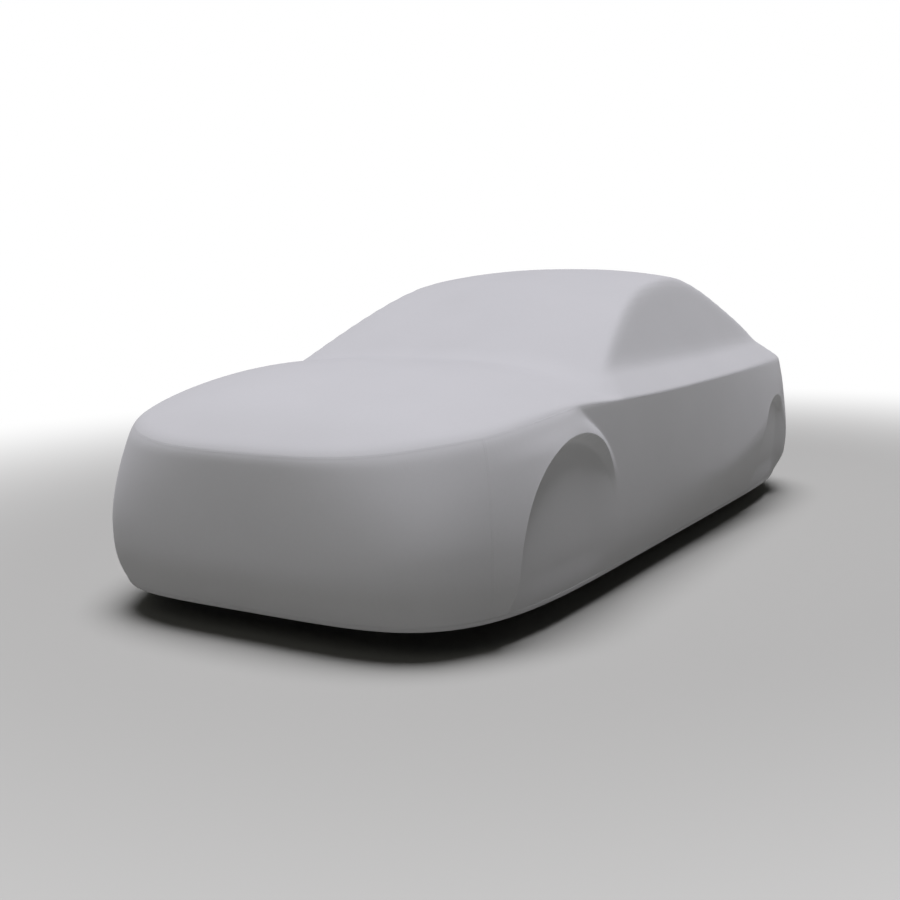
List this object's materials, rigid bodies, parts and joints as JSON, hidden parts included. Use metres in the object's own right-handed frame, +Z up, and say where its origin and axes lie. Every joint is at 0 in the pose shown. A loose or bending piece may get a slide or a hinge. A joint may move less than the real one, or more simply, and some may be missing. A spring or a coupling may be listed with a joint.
{
  "type": "fitted stretch car cover",
  "caption": "Fitted stretch cloth cover in the shape of a saloon car: a domed cabin, low decks, a skirt with arch reliefs and an elastic hem, open below.",
  "frame": {"origin": "underside of the roof on the centre line, where the cover is held up; the ground is 1.35 m below it", "axes": "+X to the cover's left side, +Y towards its tail, +Z up"},
  "size_m": [1.9292, 4.639, 1.2426],
  "materials": {
    "stretch_cloth": "matte fine-gauge stretch knit, light grey, sewn with matching thread"
  },
  "bodies": {
    "root": {"front_deck_panel": "stretch_cloth", "cabin_panel": "stretch_cloth", "rear_deck_panel": "stretch_cloth", "front_panel": "stretch_cloth", "rear_panel": "stretch_cloth", "side_panel_left": "stretch_cloth", "side_panel_right": "stretch_cloth"}
  },
  "joints": []
}
